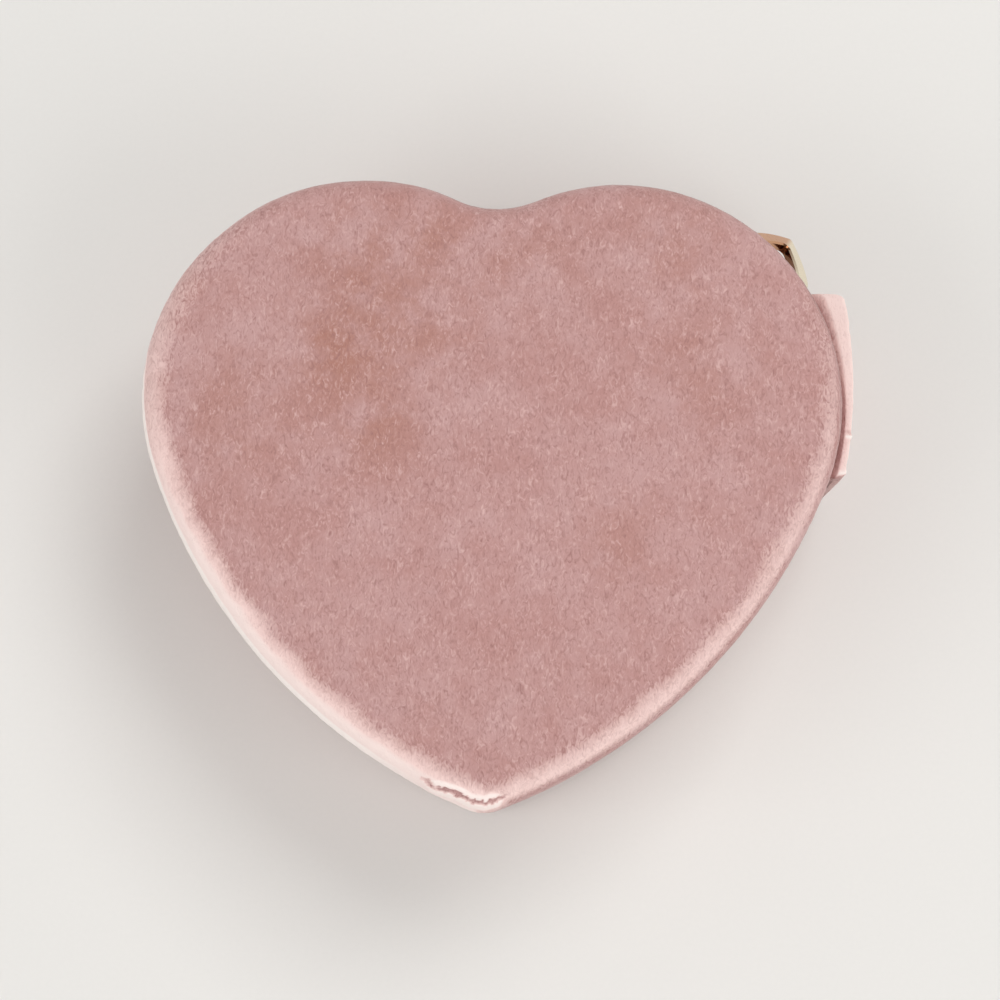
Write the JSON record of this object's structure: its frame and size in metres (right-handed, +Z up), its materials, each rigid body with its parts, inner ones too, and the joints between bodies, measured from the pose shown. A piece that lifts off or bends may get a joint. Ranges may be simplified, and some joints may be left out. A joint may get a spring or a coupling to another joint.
{
  "type": "heart-shaped jewellery case",
  "caption": "Heart-shaped velvet jewellery case with a zip round the side, a padded spine as hinge, a mirror in the lid, ring rolls and compartments.",
  "frame": {"origin": "middle of the heart outline (half its width and half its length), on the resting face", "axes": "+Z up from the resting face, +Y to the lobes of the heart, +X to the spine"},
  "size_m": [0.115, 0.1012, 0.048],
  "materials": {
    "velvet_outer": "dusty pink velvet, short pile",
    "velvet_spine": "dusty pink velvet, stretched over padding",
    "velvet_lining": "pale pink velvet lining",
    "velvet_roll": "pale pink velvet over foam",
    "board": "grey moulded board, hidden",
    "foam": "soft white foam, hidden",
    "mirror_glass": "silvered mirror",
    "zip_tape": "woven zip tape, dusty pink",
    "zip_teeth": "polished gold-coloured teeth",
    "zip_gold": "polished gold-coloured plating"
  },
  "bodies": {
    "base": {"base_shell": "board", "base_cover": "velvet_outer", "base_lining": "velvet_lining", "cross_divider": "velvet_lining", "long_divider": "velvet_lining", "ring_roll_1": "velvet_roll", "ring_roll_2": "velvet_roll", "ring_roll_3": "velvet_roll", "ring_roll_4": "velvet_roll", "spine_base": "velvet_spine", "gusset_base": "velvet_lining", "zip_tape_base": "zip_tape", "zip_teeth_base": "zip_teeth", "zip_stops_base": "zip_gold"},
    "lid": {"lid_shell": "board", "lid_foam": "foam", "lid_cover": "velvet_outer", "lid_lining": "velvet_lining", "mirror": "mirror_glass", "mirror_bezel": "velvet_lining", "spine_lid": "velvet_spine", "gusset_lid": "velvet_lining", "zip_tape_lid": "zip_tape", "zip_teeth_lid": "zip_teeth", "zip_stops_lid": "zip_gold"},
    "slider": {"zip_slider": "zip_gold"},
    "pull": {"zip_pull": "zip_gold"}
  },
  "joints": [
    {"name": "lid_hinge", "type": "hinge", "parent": "base", "child": "lid", "pos_m": [0.059, 0.01925, 0.024], "axis": [0, 1, 0], "range_deg": [0, 110]},
    {"name": "slider_run", "type": "hinge", "parent": "base", "child": "slider", "pos_m": [0.0205, 0.015, 0.024], "axis": [0, 0, 1], "range_deg": [0, 55], "deforming": ["zip_teeth_lid", "zip_teeth_base"]},
    {"name": "pull_swing", "type": "hinge", "parent": "slider", "child": "pull", "pos_m": [0.04646, 0.04123, 0.024], "axis": [0.7108, -0.7034, 0], "range_deg": [-27, 110]}
  ]
}
